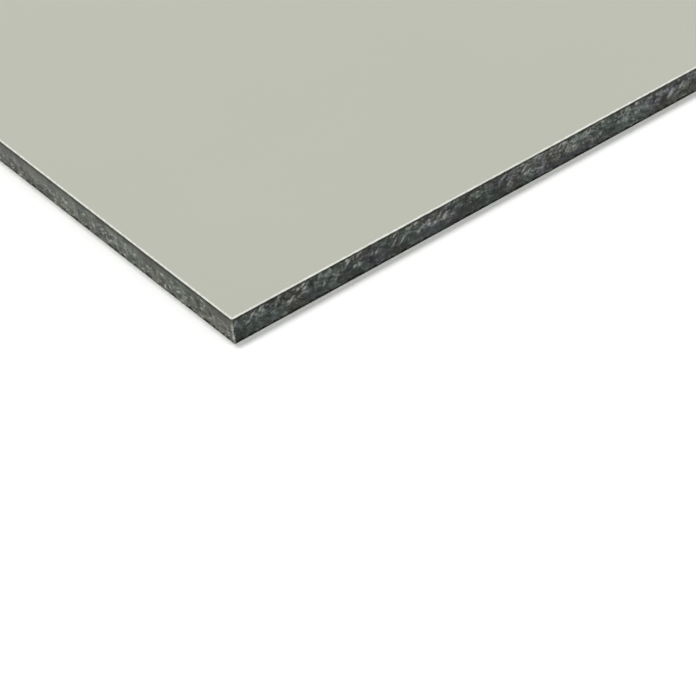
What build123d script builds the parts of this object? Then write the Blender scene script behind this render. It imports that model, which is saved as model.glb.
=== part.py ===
# Multipurpose building board: a flat compact-laminate panel lying face up.
# The origin is the centre of the underside. +Z is up, X runs along the long edge and Y along the short one.
import os

from build123d import *

# Driving dimensions, in millimetres
board_length = 1000.0
board_width = 500.0
board_thickness = 6.0  # over both faces
face_thickness = 0.3  # one pale face: wear sheet, colour sheet and barrier sheet pressed together
arris = 0.25  # 45 degree bevel along every outer arris, so that the sawn edges don't cut the hand

# The two glue lines, where the core meets the faces
lower_joint = Plane.XY.offset(face_thickness)
upper_joint = Plane.XY.offset(board_thickness - face_thickness)

# The whole board as pressed, sawn and eased: every outer arris is bevelled, the four upright ones too
with BuildPart() as board:
    with BuildSketch():
        sawn = Rectangle(board_length, board_width)
        chamfer(sawn.vertices(), length=arris)
    extrude(amount=board_thickness)
    rims = board.edges().group_by(Axis.Z)
    chamfer(rims[0] + rims[-1], length=arris)

# Dark core: the layer between the glue lines, which shows only at the four sawn edges
with BuildPart() as core:
    add(board.part)
    split(bisect_by=lower_joint, keep=Keep.TOP)
    split(bisect_by=upper_joint, keep=Keep.BOTTOM)

# Pale face on top
with BuildPart() as top_face:
    add(board.part)
    split(bisect_by=upper_joint, keep=Keep.TOP)

# The same face underneath, which balances the board so that it stays flat
with BuildPart() as bottom_face:
    add(board.part)
    split(bisect_by=lower_joint, keep=Keep.BOTTOM)

core.part.label = "core"
top_face.part.label = "top_face"
bottom_face.part.label = "bottom_face"

os.makedirs("parts", exist_ok=True)
export_step(core.part, "parts/core.step")
export_step(top_face.part, "parts/top_face.step")
export_step(bottom_face.part, "parts/bottom_face.step")
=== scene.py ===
# Multipurpose building board: a panel of compact laminate, pale satin faces on a dark core with sawn edges
import math

import bpy
import numpy as np
from mathutils import Matrix, Vector


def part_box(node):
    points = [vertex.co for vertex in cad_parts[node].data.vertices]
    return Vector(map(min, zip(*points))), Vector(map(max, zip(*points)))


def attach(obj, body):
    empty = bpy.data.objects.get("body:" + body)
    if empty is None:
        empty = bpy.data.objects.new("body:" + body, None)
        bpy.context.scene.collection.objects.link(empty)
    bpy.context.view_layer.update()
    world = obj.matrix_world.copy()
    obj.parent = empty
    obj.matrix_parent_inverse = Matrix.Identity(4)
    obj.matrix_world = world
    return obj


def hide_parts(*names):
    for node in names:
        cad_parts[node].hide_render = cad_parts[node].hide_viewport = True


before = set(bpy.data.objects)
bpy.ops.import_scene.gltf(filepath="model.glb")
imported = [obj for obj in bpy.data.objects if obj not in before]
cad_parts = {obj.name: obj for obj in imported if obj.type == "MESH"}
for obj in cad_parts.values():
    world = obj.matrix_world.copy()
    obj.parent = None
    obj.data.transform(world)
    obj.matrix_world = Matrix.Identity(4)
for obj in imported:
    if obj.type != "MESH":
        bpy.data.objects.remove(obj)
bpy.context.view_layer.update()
mm = 0.001
print("frame loaded:", ", ".join(sorted(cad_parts)))

# The photographed corner is the one with the lowest X and Y, and the long edges run along X
coreLow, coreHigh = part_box("core")
halfSize = np.array((coreHigh.x, coreHigh.y)) / mm
middle = (coreLow.z + coreHigh.z) / 2 / mm  # mm above the floor
coreThick = (coreHigh.z - coreLow.z) / mm

# What the faces and the core share
board = {
    "ease": 0.43,  # mm, radius of the upright corners
    "easeSteps": 6,  # columns round each of them
    "strips": 23,  # how many lengths the unrolled edge is cut into, to stack them in a map
}


def put(name, data):
    # Adds an object to the scene
    made = bpy.data.objects.new(name, data)
    bpy.context.scene.collection.objects.link(made)
    return made


# Camera

camera = {
    "away": Vector((-0.1647, -0.2729, 0.2569)),  # from the near corner at floor level, metres
    "heading": 34.68,  # degrees turned from +Y towards +X
    "dip": 39.27,  # degrees below level
    "roll": -5.80,
    "lens": 119.4,  # mm
    "sensor": 36,  # mm wide
    "clip": (0.01, 100),  # metres
}


def placeCamera(setup):
    heading, dip, roll = (math.radians(setup[key]) for key in ("heading", "dip", "roll"))
    ahead = Vector((math.sin(heading) * math.cos(dip), math.cos(heading) * math.cos(dip), -math.sin(dip)))
    level = Vector((math.cos(heading), -math.sin(heading), 0))
    upright = level.cross(ahead)
    right = level * math.cos(roll) + upright * math.sin(roll)
    up = upright * math.cos(roll) - level * math.sin(roll)
    data = bpy.data.cameras.new("camera")
    data.lens = setup["lens"]
    data.sensor_width = setup["sensor"]
    data.clip_start, data.clip_end = setup["clip"]
    made = put("camera", data)
    place = Vector((coreLow.x, coreLow.y, 0)) + setup["away"]
    made.matrix_world = Matrix.Translation(place) @ Matrix((right, up, -ahead)).transposed().to_4x4()
    bpy.context.scene.camera = made


placeCamera(camera)
print("camera placed")


# Shader maths written as Python

class Value:
    # One output socket of a node. Arithmetic on it adds Math nodes.
    def __init__(self, paint, socket):
        self.paint, self.socket = paint, socket

    def math(self, operation, *values):
        return self.paint.node("Math", {"operation": operation}, dict(enumerate(values)))

    def __add__(self, other):
        return self.math("ADD", self, other)

    def __radd__(self, other):
        return self.math("ADD", other, self)

    def __sub__(self, other):
        return self.math("SUBTRACT", self, other)

    def __rsub__(self, other):
        return self.math("SUBTRACT", other, self)

    def __mul__(self, other):
        return self.math("MULTIPLY", self, other)

    def __rmul__(self, other):
        return self.math("MULTIPLY", other, self)

    def __rpow__(self, other):
        return self.math("POWER", other, self)

    def __gt__(self, other):
        return self.math("GREATER_THAN", self, other)

    def __lt__(self, other):
        return self.math("LESS_THAN", self, other)

    def __abs__(self):
        return self.math("ABSOLUTE", self)

    def most(self, other):
        return self.math("MAXIMUM", self, other)

    def least(self, other):
        return self.math("MINIMUM", self, other)

    def rise(self, low, high):
        # 0 below low, 1 above high and a smooth step between them
        ends = {"Value": self, "From Min": low, "From Max": high}
        return self.paint.node("MapRange", {"interpolation_type": "SMOOTHSTEP"}, ends)


class Paint:
    # The nodes of a material or a world
    def __init__(self, owner):
        owner.use_nodes = True
        self.owner, self.tree = owner, owner.node_tree
        self.tree.nodes.clear()

    def node(self, kind, settings, sockets, out=0):
        # Adds a node: first its settings, then what its sockets hold or are linked to
        made = self.tree.nodes.new("ShaderNode" + kind)
        for key, value in settings.items():
            setattr(made, key, value)
        for key, value in sockets.items():
            socket = made.inputs[key]
            if isinstance(value, Value):
                self.tree.links.new(value.socket, socket)
            elif socket.type == "RGBA":
                socket.default_value = (*value, 1)
            else:
                socket.default_value = value
        return Value(self, made.outputs[out]) if made.outputs else None

    def mix(self, share, low, high):
        # The colour low where share is 0, and high where it is 1. Of this node's sockets, 6, 7 and out 2
        # are the ones for colours.
        return self.node("Mix", {"data_type": "RGBA"}, {0: share, 6: low, 7: high}, out=2)

    def vector(self, operation, *values):
        return self.node("VectorMath", {"operation": operation}, dict(enumerate(values)))

    def scaled(self, vector, factor):
        return self.node("VectorMath", {"operation": "SCALE"}, {"Vector": vector, "Scale": factor})

    def join(self, x, y, z):
        return self.node("CombineXYZ", {}, {"X": x, "Y": y, "Z": z})

    def part(self, vector, axis):
        return self.node("SeparateXYZ", {}, {"Vector": vector}, out=axis)

    def grain(self):
        # The place on the board in mm, from its centre and up from the floor
        return self.scaled(self.node("TexCoord", {}, {}, out="Object"), 1 / mm)

    def spread(self, grain):
        # How far in from the two nearest sides: X from a short edge, Y from a long one
        return self.vector("SUBTRACT", (*halfSize, 0), self.vector("ABSOLUTE", grain))

    def noise(self, vector, size, detail=2.0, out="Fac"):
        # Clouds about as wide as size, in the vector's own unit
        return self.node("TexNoise", {}, {"Vector": vector, "Scale": 1 / size, "Detail": detail}, out=out)

    def swing(self, vector, size, gain, detail=2.0):
        # The same clouds as a number that swings round 0 by about a tenth of gain
        return (self.noise(vector, size, detail) - 0.5) * gain

    def cells(self, vector, size, out="Color", feature="F1"):
        # Flat cells about as wide as size: a random colour in each, or the way to its middle or border
        settings = {"voronoi_dimensions": "2D", "feature": feature}
        return self.node("TexVoronoi", settings, {"Vector": vector, "Scale": 1 / size}, out=out)

    def spots(self, vector, size, spot, share):
        # A spot in that share of the cells, full within the first radius and gone at the second, in
        # cells. Each has a strength of its own, from 0.4 to 1.
        random = self.cells(vector, size)
        chosen = self.part(random, 0) > 1 - share
        shape = 1 - self.cells(vector, size, "Distance").rise(*spot)
        return shape * chosen * (self.part(random, 1) * 0.6 + 0.4)

    def slope(self, vector, size, step=0.13, gain=5.4):
        # Painted light and shade: from 1 on the side of each cell that faces up and back along the edge,
        # painted as lit, to -1 on its other side, painted as shaded: how much the way to the middle grows
        # over one step in that direction, times gain
        beyond = self.vector("ADD", vector, (-step * size, step * size, 0))
        growth = self.cells(beyond, size, "Distance") - self.cells(vector, size, "Distance")
        return growth * gain

    def band(self, value, low, peak, high):
        # 1 at peak, falling to 0 at low and at high
        return value.rise(low, peak) * (1 - value.rise(peak, high))

    def bump(self, height, strength, depth):
        # The normal of a surface on which a height of 1 stands for depth in mm
        return self.node("Bump", {}, {"Height": height, "Strength": strength, "Distance": depth * mm})

    def finish(self, sockets):
        shader = self.node("BsdfPrincipled", {}, sockets)
        self.node("OutputMaterial", {}, {"Surface": shader})
        return self.owner

    def seen(self):
        # 1 where the camera sees the surface directly, in a reflection or through something clear
        rays = ("Is Camera Ray", "Is Glossy Ray", "Is Transmission Ray")
        direct, mirrored, through = (self.node("LightPath", {}, {}, out=ray) for ray in rays)
        return direct.most(mirrored).most(through)


# Shapes worked out with numpy, in millimetres until they go into a mesh

def outline(look):
    # Walks round the board anticlockwise from the near corner: a rectangle whose corners are quarter
    # circles. Points are stepNear apart within nearSpan of the near corner and stepFar apart elsewhere.
    # Returns the points, the outward direction at each, the distance walked to it, with the full way
    # round last, and its side.
    ease, easeSteps = board["ease"], board["easeSteps"]
    corners = np.array(((-1, -1), (1, -1), (1, 1), (-1, 1))) * (halfSize - ease)
    points, outward, side = [], [], []
    for k in range(4):
        start, end = corners[k], corners[(k + 1) % 4]
        away = math.radians(90 * k - 90)
        normal = np.array((math.cos(away), math.sin(away)))
        length = np.abs(end - start).sum()
        fine = np.linspace(0, look["nearSpan"], round(look["nearSpan"] / look["stepNear"]), endpoint=False)
        coarse = np.linspace(look["nearSpan"], length, round((length - look["nearSpan"]) / look["stepFar"]))
        along = np.concatenate((fine, coarse))
        # Side 0 starts at the near corner, side 3 ends there, and the other two don't reach it
        if k in (1, 2):
            along = np.linspace(0, length, round(length / look["stepFar"]))
        if k == 3:
            along = length - along[::-1]
        bend = away + np.radians(np.linspace(0, 90, easeSteps + 2)[1:-1])
        spokes = np.stack((np.cos(bend), np.sin(bend)), 1)
        points += [start + (end - start) * along[:, None] / length + normal * ease, end + spokes * ease]
        outward += [np.tile(normal, (len(along), 1)), spokes]
        side += [k] * (len(along) + easeSteps)
    points, outward = np.concatenate(points), np.concatenate(outward)
    steps = np.linalg.norm(np.roll(points, -1, 0) - points, axis=1)
    return points, outward, np.concatenate(((0,), np.cumsum(steps))), np.array(side)


def rounded(corners, radius, steps):
    # A profile through the corners, with a short parabola round each inner one, from radius before it to
    # radius after it
    corners = np.array(corners, float)
    run = [corners[:1]]
    for before, corner, after in zip(corners, corners[1:], corners[2:]):
        start = corner + (before - corner) / np.linalg.norm(before - corner) * radius
        end = corner + (after - corner) / np.linalg.norm(after - corner) * radius
        t = np.linspace(0, 1, steps + 1)[:, None]
        run.append(start * (1 - t) ** 2 + corner * 2 * t * (1 - t) + end * t ** 2)
    return np.concatenate(run + [corners[-1:]])


def softNoise(along, across, size, seed, period, rows=64):
    # Random values from 0 to 1 on a grid of that size, blended smoothly between its points. It repeats
    # after period along the edge, and after that many rows across it.
    count = max(2, round(period / size))
    table = np.random.default_rng(seed).random((count, rows))
    a, b = along / period * count, across / size
    i, j = np.floor(a).astype(int), np.floor(b).astype(int)
    s, t = a - i, b - j
    s, t = s * s * (3 - 2 * s), t * t * (3 - 2 * t)
    low = table[i % count, j % rows] * (1 - s) + table[(i + 1) % count, j % rows] * s
    high = table[i % count, (j + 1) % rows] * (1 - s) + table[(i + 1) % count, (j + 1) % rows] * s
    return low * (1 - t) + high * t


def chipFacets(along, across, size, tilt, seed, period, rows=16, firstRow=4):
    # Flat ragged facets: each point takes the nearest of a jittered grid of centres, and its height is
    # the way to that centre times the facet's own slope. The grid repeats like that of softNoise, and
    # starts at firstRow.
    count = round(period / size)
    rng = np.random.default_rng(seed)
    jitter, slope = rng.random((count, rows, 2)), rng.normal(0, tilt, (count, rows, 2))
    a, b = along / period * count, across / size + firstRow
    nearest, height = np.full(a.shape, np.inf), np.zeros(a.shape)
    for di in (-1, 0, 1):
        for dj in (-1, 0, 1):
            i, j = np.floor(a).astype(int) + di, np.floor(b).astype(int) + dj
            cell = i % count, j % rows
            x = a - i - jitter[cell][..., 0]
            y = b - j - jitter[cell][..., 1]
            far = np.hypot(x, y)
            here = (x * slope[cell][..., 0] + y * slope[cell][..., 1]) * size
            height = np.where(far < nearest, here, height)
            nearest = np.minimum(far, nearest)
    return height


def faceCorners(left, right):
    # The four corners of each four-sided face in a map, from the places of its left and of its right column
    return np.stack((left[:-1], right[:-1], right[1:], left[1:]), 2)


def stripMap(walked, height, low, high):
    # Cuts the unrolled edge into equal strips and stacks them between two corners of the map. Returns the
    # places of each face's four corners. The factor just below 1 keeps the last column in the last strip.
    length = walked[-1] / board["strips"]
    strip = np.floor(walked[:-1] / length * 0.999999)
    scale = (high[0] - low[0]) / (length + np.diff(walked).max())
    base = low[1] + strip * (high[1] - low[1]) / board["strips"]
    left = np.stack(np.broadcast_arrays(low[0] + (walked[:-1] - strip * length) * scale,
                                        base + height[:, None] * scale), -1)
    right = left + np.stack((np.diff(walked) * scale, np.zeros(len(strip))), -1)
    return faceCorners(left, right)


def ringMap(places, low, high):
    # Lays the grid flat between two corners of the map, seen from above
    longest = halfSize.max()
    flat = low + (places[..., :2] / longest + halfSize / longest) / 2 * (np.array(high) - low)
    return faceCorners(flat, np.roll(flat, -1, 1))


def skin(name, places, maps, material, fields=None):
    # A closed skin from a grid of places, rows from below to above and columns anticlockwise: four-sided
    # faces, and one flat face at each end. Each map has the corners of the four-sided faces and the two
    # end rings. Each field is a number at every place, for the material.
    rows, columns = places.shape[:2]
    i, j = np.meshgrid(np.arange(rows - 1), np.arange(columns), indexing="ij")
    beside = (j + 1) % columns
    low, high = i * columns, (i + 1) * columns
    quads = np.stack((low + j, low + beside, high + beside, high + j), -1)
    lowRing, highRing = np.arange(columns)[::-1], (rows - 1) * columns + np.arange(columns)
    loops = np.concatenate((quads.ravel(), lowRing, highRing))
    starts = np.concatenate((np.arange(0, quads.size, 4), (quads.size, quads.size + columns)))
    mesh = bpy.data.meshes.new(name)
    mesh.vertices.add(rows * columns)
    mesh.vertices.foreach_set("co", (places * mm).astype(np.float32).ravel())
    mesh.loops.add(len(loops))
    mesh.loops.foreach_set("vertex_index", loops.astype(np.int32))
    mesh.polygons.add(len(starts))
    mesh.polygons.foreach_set("loop_start", starts.astype(np.int32))
    mesh.update(calc_edges=True)
    mesh.shade_smooth()
    for mapName, (corners, lowEnd, highEnd) in maps.items():
        flat = np.concatenate((corners.reshape(-1, 2), lowEnd[::-1], highEnd))
        mesh.uv_layers.new(name=mapName).data.foreach_set("uv", flat.astype(np.float32).ravel())
    for fieldName, values in (fields or {}).items():
        field = mesh.attributes.new(fieldName, "FLOAT", "POINT")
        field.data.foreach_set("value", values.astype(np.float32).ravel())
    mesh.materials.append(material)
    return put(name, mesh)


# Pale faces

face = {
    "colour": (0.480, 0.487, 0.420),
    "wornAndHighlightColour": (0.94, 0.94, 0.885),  # scuffed bevel, where the paler paper under the colour shows, and a painted highlight along the arris on top of that
    "stainAndFootShade": (0.030, 0.030, 0.026),  # dust from the core, pressed into the top glue line by the saw, and painted shade at the floor on the bottom face
    "stainReach": (0.033, 0.09),  # mm from the glue line, where the dust and painted shade are full and where they end
    "roughness": 0.38,
    "bevel": 0.25,  # mm, along the outer arris
    "bevelWorn": (0.20, 0.32),  # mm in from the edge, where the worn colour and its painted highlight are full and where they end
    "bend": 0.03,  # mm, how softly the bevel meets the faces beside it
    "bendSteps": 3,
    "rings": (1.2, 3, 8, 20, 60),  # mm in from the edge, rows of the open face
    "hiddenRing": 9,  # mm in from the edge, the one row of the glued side
    "nickDepth": 0.03,  # mm
    "nickDrop": 0.7,  # how far down a nick goes for each mm that it goes in
    "nickFade": 1.6,  # at 2 a nick ends where the bevel does, and at less than that just past it
    "nicks": ((11, 0.9, 6, 1), (12, 7.0, 2, 0.35)),  # seed, size in mm, sharpness and share of each kind
    "stepNear": 0.45,  # mm between columns, within nearSpan of the photographed corner and elsewhere
    "stepFar": 1.1,
    "nearSpan": 200,
    "rimSpan": 2,  # mm of the profile that the rim's region of the map has room for
    "rimMap": ((0.002, 0.53), (0.998, 0.98)),  # two corners of each region
    "openMap": ((0.004, 0.004), (0.996, 0.996)),
    "hiddenMap": ((0.992, 0.992), (0.998, 0.998)),
    "scuff": 1.4,  # how wide the parts of the texture are, in mm
    "speckle": 0.22,
    "cloud": 45,
    "bumpDepth": 0.006,  # mm
}


def paleFace(look):
    p = Paint(bpy.data.materials.new("pale_face"))
    grain = p.grain()
    spread = p.spread(grain)
    inset = p.part(spread, 0).least(p.part(spread, 1))
    fromGlue = abs(p.part(grain, 2) - middle) - coreThick / 2
    short = p.part(spread, 0) < p.part(spread, 1)

    # The worn bevel is patchy along its length and paler than the face, partly from wear and partly as a
    # painted highlight. Beside the core runs a dark band: dust at the top glue line, painted shade at the
    # foot of the bottom face. On the short edges the dark band is a little narrower, and the bevel a little
    # darker as painted shade.
    rim = 1 - (inset + p.swing(grain, 0.5, 0.25, 3)).rise(*look["bevelWorn"])
    scuff = p.noise(grain, look["scuff"], 3).rise(0.38, 0.66)
    # Dark band by each glue line: dust under the top face, and painted shade where the bottom face meets
    # the floor
    ragged = fromGlue + short * 0.015 - 0.006 + p.swing(grain, 0.9, 0.15, 3)
    stainAndFootShade = 1 - ragged.rise(*look["stainReach"])
    speckle = p.noise(grain, look["speckle"], 2)
    cloud = p.noise(grain, look["cloud"], 3)
    body = p.scaled(look["colour"], 0.97 + cloud * 0.04 + speckle * 0.02)
    # Painted highlight: the bevel's colour, far paler than the face, stands partly for light on the arris,
    # and short * 0.065 is painted shade on the short edges
    worn = p.scaled(look["wornAndHighlightColour"], 1.04 - scuff * 0.16 - short * 0.065)
    colour = p.mix(stainAndFootShade * 0.9, p.mix(rim, body, worn), look["stainAndFootShade"])
    height = speckle * 0.6 + p.noise(grain, 0.9, 2) * 0.4 + rim * p.noise(grain, 0.3, 3) * 1.5
    return p.finish({
        "Base Color": colour,
        "Roughness": look["roughness"] + (speckle - 0.5) * 0.06 + rim * 0.2,
        "Normal": p.bump(height, 0.35, look["bumpDepth"]),
    })


def makeFace(name, look, material, upward):
    # The profile runs from the glued side round the bevel to the open face, carried along the outline. At
    # an inset d the outline is drawn in so that all four sides move by d. Nicks deepen the bevel in places.
    low, high = (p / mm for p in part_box(name))
    thick, bevel, rings = high.z - low.z, look["bevel"], look["rings"]
    points, _, walked, _ = outline(look)
    corners = ((look["hiddenRing"], 0), (0, 0), (0, thick - bevel), (bevel, thick), (rings[0], thick))
    profile = rounded(corners, look["bend"], look["bendSteps"])
    profile = np.concatenate((profile, [(d, thick) for d in rings[1:]]))
    inset, lift = profile[:, :1], profile[:, 1:]

    # A nick is deepest half way up the bevel
    aside = np.abs(lift - (thick - bevel / 2)) / bevel
    onBevel = np.clip(1 - aside * look["nickFade"], 0, 1) * (inset < 1)
    at = walked[:-1]
    nick = sum(share * softNoise(at, 0 * at, size, seed, walked[-1]) ** sharpness
               for seed, size, sharpness, share in look["nicks"])
    depth = onBevel * nick * look["nickDepth"]
    places = np.empty((len(profile), len(points), 3))
    places[..., :2] = points * (1 - (inset + depth)[..., None] / halfSize)
    drop = depth * look["nickDrop"]
    places[..., 2] = low.z + lift - drop if upward else high.z - lift + drop

    # The hidden row, the rim and the open face each have a region of the map
    runLength = np.concatenate(((0,), np.cumsum(np.linalg.norm(np.diff(profile, axis=0), axis=1))))
    rimStart, rimEnd = 1, len(profile) - len(rings)
    up = np.clip(runLength - runLength[rimStart], 0, look["rimSpan"])
    strips = stripMap(walked, up, *look["rimMap"])
    hidden = ringMap(places, *look["hiddenMap"])
    flat = ringMap(places, *look["openMap"])
    row = np.arange(len(profile) - 1)[:, None, None, None]
    packed = np.where(row < rimStart, hidden, np.where(row < rimEnd, strips, flat))
    ends = [hidden[0, :, 0], flat[-1, :, 3]]
    if not upward:
        places, packed, ends = places[::-1], packed[::-1][:, :, (3, 2, 1, 0)], ends[::-1]
    return skin(name + "_sheet", places, {"OFBake": (packed, *ends)}, material)


faceMaterial = paleFace(face)
for node, upward in (("top_face", True), ("bottom_face", False)):
    sheet = makeFace(node, face, faceMaterial, upward)
    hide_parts(node)
    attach(sheet, "root")
print("faces made")


# Dark core

core = {
    # Hues of the flakes, all with the same green
    "moss": (0.725, 1.00, 0.865),
    "plum": (0.975, 1.00, 1.175),
    "umber": (1.04, 1.00, 0.78),
    "paleTint": (0.91, 1.00, 0.95),
    # Hues laid over them: on the short edges at the foot and at the top, and all round under the top face
    "footCast": (1.06, 1.00, 0.79),
    "topCast": (0.87, 1.00, 0.49),
    "glueCast": (1.01, 1.00, 0.76),
    # How dark the flakes are: darkest times contrast to the power of a tone, which runs from about 0 to 1
    "darkest": 0.0060,
    "contrast": 34,
    "tone": 0.575,
    "shortFootPaintedLight": (0.09, 0.029),  # painted light: what a short edge adds at its foot, against the darker reflection of the floor's shadow there, and takes off again for each mm up
    "fleck": (0.52, 0.55, 0.535),
    "shortFleck": (0.56, 0.57, 0.535),
    "scuffAndHighlight": (0.62, 0.63, 0.57),  # the rubbed upright arrises, paler still as a painted highlight
    "paintedShadeColour": (0.0055, 0.006, 0.005),  # painted shade: in pits and cracks, beside the strokes, and in the dark line at the foot where the board meets the floor
    "glueLineAndShade": (0.011, 0.0125, 0.002),  # the dark line under the top face: a resin line, with painted shade under the face's overhang
    # Shine
    "roughness": 0.5,
    "specular": 0.12,
    "coat": 0.58,  # of resin on a flake, which varies
    "coatRoughness": 0.18,
    "coatIor": 1.38,
    # How wide the parts of the texture are, in mm
    "flake": 1.8,
    "warp": 1.3,
    "patch": 9,
    "hue": 6,
    "cloud": 11,
    "cluster": 4.5,
    "crumb": 1.6,
    "bit": 0.9,
    "shadedPit": 1.1,
    "crackMesh": 2.1,
    "gap": 3.2,
    "dash": 1.3,
    # Spots: how far from the middle of a cell they are full, and where they end, in cells
    "strokeSpot": (0.06, 0.36),
    "crumbSpot": (0.08, 0.34),
    "bitSpot": (0.10, 0.34),
    "pitSpot": (0.14, 0.34),
    # Heights in mm above the lower glue line: where each band begins, is strongest and ends
    "paleBand": (1.6, 2.7, 3.8),  # the long edges are paler there
    "crumbBand": (2.1, 2.95, 3.9),  # most crumbs of the short edges, and the rest at their foot
    "footBand": (-0.3, 0.7, 1.5),
    "foot": (1.3, 2.5),  # the foot of the short edges: full below the first height, gone above the second
    "glueBand": (0.2, 1.8),  # mm down from the top face, where glueCast is full and where it ends
    "seamShade": (0.132, 0.4125),  # mm from each face, where the dark line of resin and painted shade is full and where it ends
    "bumpDepth": 0.05,  # mm
    # Shape
    "tornAbove": 1.45,  # mm up, where the saw tore the long edges; below it they are burnished
    "tornBelow": 4.1,  # mm up, where it tore the short ones
    "tornDepth": 0.05,  # mm, and so are the depths below
    "facetSize": 3.0,  # mm
    "facetTilt": 0.06,
    "toothPitch": 1.5,  # mm between saw marks, which climb away from the corner
    "toothLean": 0.7071,  # sine and cosine of their 45 degrees
    "toothDepth": 0.03,
    "gougeDepth": 0.05,
    "glueDepth": 0.03,  # at the glue lines, where the core is set back a little all round
    "baseDepth": 0.01,
    "mostDepth": 0.16,
    "tornFade": 0.5,  # mm from a glue line, over which the torn shape comes in
    "glueFade": 0.15,  # mm, over which the set-back at the glue line is lost
    "cornerFade": 3,  # mm from a corner, over which the torn shape comes in
    "rows": 16,
    "rowCrowding": 0.82,  # how much closer the rows are at the glue lines: 0 is even
    "stepNear": 0.32,  # mm between columns, as for the faces
    "stepFar": 0.66,
    "nearSpan": 190,
    "sideStarts": (0, 1300, 2600, 4100),  # mm, where each side begins in the texture, so that no two match
    "edgeMap": ((0.002, 0.006), (0.998, 0.985)),  # two corners of each region of the map
    "hiddenMap": ((0.002, 0.990), (0.010, 0.998)),
}


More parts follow.
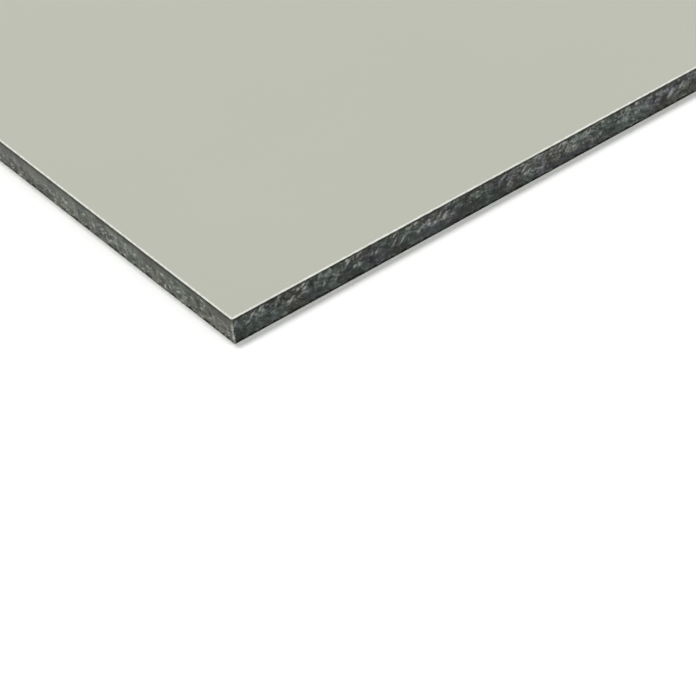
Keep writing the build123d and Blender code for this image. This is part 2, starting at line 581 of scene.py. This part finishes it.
def sawnCore(look):
    p = Paint(bpy.data.materials.new("sawn_core"))
    grain = p.grain()
    edge = p.node("UVMap", {"uv_map": "sawn"}, {}, out="UV")
    along, up = p.part(edge, 0), p.part(edge, 1)
    depth = coreThick - up

    # Where the edge is torn, short, burnished by the saw and lifted towards its foot with painted light,
    # roughly torn, or at the foot of a short side
    torn = p.node("Attribute", {"attribute_name": "torn"}, {}, out="Fac")
    spread = p.spread(grain)
    short = 1 - (p.part(spread, 0) - p.part(spread, 1)).rise(-0.05, 0.25)
    burnishAndFootLight = (1 - torn) * (1 - short) * (1.1 - up)
    rough = torn * (1 - short * 0.6)
    low = short * (1 - up.rise(*look["foot"]))

    # Flakes of pressed paper with bent borders, drawn out along the edge and falling away from the corner.
    # Where they are torn, each has a painted lit slope and a painted shaded slope.
    warp = p.vector("SUBTRACT", p.noise(edge, look["warp"], 2, "Color"), (0.5, 0.5, 0.5))
    bent = p.join(along * 0.55 - up * 0.25, along * 0.40 + up * 1.05, 0)
    bent = p.vector("ADD", bent, p.scaled(warp, 1.2))
    broad = p.noise(edge, look["patch"], 3)
    flake = p.part(p.cells(bent, look["flake"]), 0) - 0.5
    crumb = p.part(p.cells(bent, look["flake"] * 0.5), 1) - 0.5
    # slope paints light on the up-and-back side of each flake and shade on its other side
    slope = p.slope(bent, look["flake"]) * 0.17 + p.slope(bent, look["flake"] * 0.55) * 0.15
    fine = flake * 0.16 + p.swing(bent, 0.8, 0.9 - short * 0.4) + p.swing(edge, 0.45, 0.5 - short * 0.1)
    # Painted light lifts the foot of the short edges
    tone = look["tone"] + short * (look["shortFootPaintedLight"][0] - up * look["shortFootPaintedLight"][1])
    tone = tone + fine * (1 + (1 - torn) * (0.35 - short * 0.6))
    # Painted light: the burnished part of the long edges is lighter towards the foot, against the floor's
    # shadow in its reflection
    tone = tone + burnishAndFootLight * 0.10
    tone = tone - (broad - 0.5) * (0.9 - short * 0.76) + p.swing(grain, look["cloud"], 0.7) * (1 - short)
    tone = tone + p.band(up, *look["paleBand"]) * (1 - short) * 0.06 + low * 0.05
    tone = tone + rough * (0.03 + crumb * 0.16 + slope + p.swing(edge, 0.5, 0.3))

    # Broad patches lean to green where they are pale, and elsewhere to plum or umber
    dull = p.mix(p.noise(grain, look["hue"], 2).rise(0.44, 0.54), look["plum"], look["umber"])
    tint = p.mix(broad.rise(0.43, 0.56), look["moss"], dull)
    tint = p.mix(tone.rise(0.65, 1.05) * 0.6, tint, look["paleTint"])
    cast = p.mix(up * (1 / coreThick), look["footCast"], look["topCast"])
    tint = p.vector("MULTIPLY", tint, p.mix(short, (1, 1, 1), cast))
    tint = p.vector("MULTIPLY", tint, p.mix(depth.rise(*look["glueBand"]), look["glueCast"], (1, 1, 1)))

    # Pale strokes of the saw in clusters, each with a painted shadow on one side
    climb, cross = (along + up) * look["toothLean"], (along - up) * look["toothLean"]
    strokes = p.vector("ADD", p.join(climb * 0.27, cross * 0.9, 0), p.scaled(warp, 0.7))
    cluster = p.noise(edge, look["cluster"], 2).rise(0.32, 0.44) * torn * along.rise(0.8, 2)
    curled = p.vector("ADD", edge, p.scaled(warp, 0.8))
    stroke = p.spots(strokes, 1, look["strokeSpot"], 0.42 - short * 0.15) * cluster
    stroke = stroke * (p.noise(curled, 0.6, 1).rise(0.35, 0.55) * 0.6 + 0.4)
    beside = p.vector("ADD", strokes, (0, -0.32, 0))
    strokeShadow = p.spots(beside, 1, look["strokeSpot"], 0.40 - short * 0.15) * cluster

    # Pale crumbs and smaller bits. On the short edges they are drawn out, fall away from the corner, and
    # gather half way up and in gaps at the foot.
    gap = p.noise(edge, look["gap"], 2).rise(0.47, 0.55)
    sown = p.band(up, *look["crumbBand"]) * (0.85 - broad.rise(0.42, 0.56) * 0.55)
    sown = sown + p.band(up, *look["footBand"]) * gap * 0.5
    drawn = p.join(along * (1 - short * 0.36), up * (1 + short * 0.15) + along * short * 0.36, 0)
    drawn = p.vector("ADD", drawn, p.scaled(warp, 0.8))
    crumbs = p.spots(drawn, look["crumb"], look["crumbSpot"], 0.15 + short * (sown + 0.05)) * torn
    bits = p.spots(drawn, look["bit"], look["bitSpot"], 0.2 + short * 0.15) * torn
    crumbs = crumbs.most(bits * (0.38 + short * 0.33))

    # Pale ridges and dark cracks between flakes, and dark pits, more of them at the foot of the short
    # edges. The cracks and pits are hollows, and their dark colour is painted shade.
    border = p.cells(bent, look["crackMesh"], "Distance", "DISTANCE_TO_EDGE")
    worn = p.noise(edge, 1.6, 2)
    ridge = (1 - border.rise(0.02, 0.10)) * worn.rise(0.54, 0.62) * rough
    shadedCrack = (1 - border.rise(0.02, 0.09)) * (1 - worn.rise(0.38, 0.46)) * torn
    fleck = stroke.most(crumbs * (0.85 + short * 0.15 - low * 0.12)).most(ridge * (0.42 - short * 0.17))
    shadedPit = p.spots(curled, look["shadedPit"], look["pitSpot"], 0.28 + low * 0.14).most(shadedCrack * 0.7)
    shadedPit = (shadedPit * (rough * 0.5 + 0.35 + low * 0.3)).most((1 - worn.rise(0.34, 0.44)) * low * 0.42)

    # The dark line under the top face, a resin line with painted shade under the face's overhang and with a
    # soft border on the short edges, and the dark line at the foot, painted shade where the board meets the
    # floor, in dashes and with the same gaps on the short edges
    dash = p.noise(edge, look["dash"], 1).rise(0.42, 0.56)
    under = depth + p.swing(grain, 1.1, 0.7 + short * 0.7) - 0.14 + short * 0.06
    over = up - 0.23 - short * 0.04 + p.swing(grain, 1.1, 0.5) + dash * 0.30 + gap * short * 0.95
    seamShade = (1 - under.rise(*look["seamShade"])) * (0.72 + short * 0.06)
    seamShade = seamShade.most((1 - under.rise(0.35, 0.95)) * short * 0.5)
    seamShade = seamShade.most(1 - over.rise(*look["seamShade"]))

    # The rubbed upright arrises, with a painted highlight along them, less so towards the top
    cornerward = p.part(spread, 0) * 2 + p.part(spread, 1)
    cornerward = cornerward + p.swing(grain, 1.6, 1.0, 1) + p.swing(grain, 0.3, 0.6)
    rubAndHighlight = (1 - cornerward.rise(0.34, 0.58)) * (0.3 + p.noise(grain, 0.8, 2).rise(0.35, 0.6)).least(1)
    rubAndHighlight = rubAndHighlight * (1 - up.rise(3.2, 4.8) * 0.8)

    colour = p.scaled(tint, look["darkest"] * look["contrast"] ** tone)
    # Painted shade in pits and cracks and beside the strokes
    colour = p.mix(shadedPit.most(strokeShadow * 0.8) * 0.85, colour, look["paintedShadeColour"])
    colour = p.mix(fleck, colour, p.mix(short, look["fleck"], look["shortFleck"]))
    # The dark lines: resin and painted shade under the top face, painted shade at the foot
    colour = p.mix(seamShade, colour, p.mix(depth.rise(1, 2), look["glueLineAndShade"], look["paintedShadeColour"]))
    colour = p.mix(rubAndHighlight, colour, look["scuffAndHighlight"])
    height = tone * 0.5 + fleck * 0.8 - shadedPit * 0.8 - seamShade * 0.5

    # The resin shines, except in pits and at the glue lines
    resin = look["coat"] + flake * 0.3 + rough * (crumb * 0.4 + slope * 0.6) + burnishAndFootLight * 0.2
    resin = resin * (1 - shadedPit) * (1 - seamShade)
    return p.finish({
        "Base Color": colour,
        "Roughness": look["roughness"] + fleck * 0.2 + rubAndHighlight * 0.1,
        "Specular IOR Level": look["specular"],
        "Coat Weight": (resin * (1 - fleck * 0.5)).most(0).least(1),
        "Coat Roughness": look["coatRoughness"],
        "Coat IOR": look["coatIor"],
        "Normal": p.bump(height, 1, look["bumpDepth"]),
    })


def makeCore(look):
    # Straight up from one glue line to the other, carried along the outline, and set back from it: where
    # the saw tore the edge, by a step, tilted facets, saw marks and gouges along them, and a little at
    # each glue line
    low, _ = (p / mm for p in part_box("core"))
    points, outward, walked, side = outline(look)
    period, at = walked[-1], walked[:-1]
    share = np.linspace(-1, 1, look["rows"] + 1) * math.pi / 2 * look["rowCrowding"]
    lift = coreThick * (0.5 + 0.5 * np.sin(share) / math.sin(share[-1]))
    start = np.array([at[side == k][0] for k in range(4)])
    length = np.array([at[side == k][-1] for k in range(4)]) - start
    into = at - start[side]

    # Millimetres from the near corner along the sides that meet there, and the same way round on the
    # other two
    sign, offset = np.array((1, 1, -1, -1)), np.array(look["sideStarts"])
    leftRun = offset[side] + np.where(sign[side] > 0, into, length[side] - into)
    rightRun = leftRun + sign[side] * np.diff(walked)

    # The border of the torn part wanders up and down by about 1 mm. Whole numbers before period are seeds.
    s, v = np.broadcast_arrays(at, lift[:, None])
    wavy = v + 1.6 * softNoise(s, v, 3.1, 20, period) + 0.8 * softNoise(s, v, 1.2, 21, period) - 1.2
    drift = 1.4 * softNoise(s, 0 * v, 19.0, 22, period) - 0.7
    above = np.clip((wavy + drift - look["tornAbove"]) / 0.8, 0, 1)
    below = np.clip((look["tornBelow"] - wavy - drift) / 1.2, 0, 1)
    torn = np.where(side % 2 == 0, above, below)

    # Saw marks are waves across the way the teeth went, and gouges are thin and run along it. Gouges
    # would repeat after farRun, which is more mm than any run.
    cross, climb = (leftRun - v) * look["toothLean"], (leftRun + v) * look["toothLean"]
    bow = 3 * softNoise(s, v, 4.0, 23, period)
    marks = 0.5 + 0.5 * np.sin(cross / look["toothPitch"] * 2 * math.pi + bow)
    farRun = 9000
    gouge = np.clip(softNoise(climb * 0.45, cross % farRun * 1.4, 1.0, 24, farRun) * 3 - 2, 0, 1)
    chips = chipFacets(s, v, look["facetSize"], look["facetTilt"], 25, period)
    setback = look["tornDepth"] + chips + look["toothDepth"] * marks + look["gougeDepth"] * gouge
    calm = np.clip(np.minimum(into, length[side] - into) / look["cornerFade"], 0, 1)
    glue = np.minimum(v, coreThick - v)
    setback *= torn * calm * (1 - np.exp(-glue / look["tornFade"]))
    setback = setback + look["baseDepth"] + look["glueDepth"] * np.exp(-glue / look["glueFade"])
    places = np.empty((len(lift), len(points), 3))
    places[..., :2] = points - outward * np.clip(setback, 0.0, look["mostDepth"])[..., None]
    places[..., 2] = low.z + v

    packed = stripMap(walked, lift, *look["edgeMap"])
    hidden = ringMap(places, *look["hiddenMap"])
    left, right = (np.stack(np.broadcast_arrays(run, lift[:, None]), -1) for run in (leftRun, rightRun))
    maps = {
        "OFBake": (packed, hidden[0, :, 0], hidden[-1, :, 3]),
        "sawn": (faceCorners(left, right), left[0], left[-1]),
    }
    return skin("core_slab", places, maps, sawnCore(look), {"torn": torn})


slab = makeCore(core)
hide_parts("core")
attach(slab, "root")
print("core made")


# White floor and soft studio light

studio = {
    "floorSize": 80,  # metres
    "floorDrop": 0.02,  # mm below the board
    "floorSeen": 1.24,  # how white the camera and reflections see the floor near the board
    "floorFar": 1.9,  # the same far away, where the lamp gives little
    "floorTurn": (1, 8),  # metres away, where the first ends and the second starts
    "floorGives": 0.8,  # how much light it sends back up
    "skyLight": 0.605,
    "skyTint": (0.985, 1.0, 0.968),
    "skyLean": (0.14, 0.17),  # how much stronger the sky is towards +X and +Y than overhead
    "keyLight": 0.395,  # the level floor's share from the lamp
    "keyLean": (0.050, 0.2255),  # how far the lamp stands towards +X and +Y, for each metre of height
    "keySpread": (0.182, 0.222),  # its size along X and Y, in the same way
    "keyHeight": 6,  # metres
}


def makeFloor(look):
    p = Paint(bpy.data.materials.new("white_floor"))
    place = p.node("TexCoord", {}, {}, out="Object")
    away = p.node("VectorMath", {"operation": "LENGTH"}, {0: place}, out="Value")
    white = p.mix(away.rise(*look["floorTurn"]), (look["floorSeen"],) * 3, (look["floorFar"],) * 3)
    colour = p.mix(p.seen(), (look["floorGives"],) * 3, white)
    p.node("OutputMaterial", {}, {"Surface": p.node("BsdfDiffuse", {}, {"Color": colour})})
    mesh = bpy.data.meshes.new("floor")
    reach, drop = look["floorSize"] / 2, look["floorDrop"] * mm
    corners = [(x * reach, y * reach, -drop) for x, y in ((-1, -1), (1, -1), (1, 1), (-1, 1))]
    mesh.from_pydata(corners, [], [(0, 1, 2, 3)])
    mesh.materials.append(p.owner)
    put("floor", mesh)


def makeSky(look):
    # White where it is seen. As a light it is a little stronger towards one side.
    p = Paint(bpy.data.worlds.new("sky"))
    direction = p.node("TexCoord", {}, {}, out="Object")
    seen = p.seen()
    lean = p.part(direction, 0) * look["skyLean"][0] + p.part(direction, 1) * look["skyLean"][1]
    strength = seen + (1 - seen) * look["skyLight"] * (1 + lean)
    colour = p.mix(seen, look["skyTint"], (1, 1, 1))
    light = p.node("Background", {}, {"Color": colour, "Strength": strength})
    p.node("OutputWorld", {}, {"Surface": light})
    bpy.context.scene.world = p.owner


def makeKey(look):
    # A large lamp high behind the board. Its power is set so that it gives the floor keyLight.
    lean, spread, height = look["keyLean"], look["keySpread"], look["keyHeight"]
    data = bpy.data.lights.new("key", "AREA")
    data.shape = "RECTANGLE"
    data.size, data.size_y = spread[0] * height, spread[1] * height
    slant = math.hypot(1, *lean)
    data.energy = look["keyLight"] * math.pi ** 2 * height ** 2 * slant ** 4
    made = put("key", data)
    made.location = (coreLow.x + lean[0] * height, coreLow.y + lean[1] * height, height)


makeFloor(studio)
makeSky(studio)
makeKey(studio)
bpy.context.scene.view_settings.view_transform = "Standard"
print("studio made")
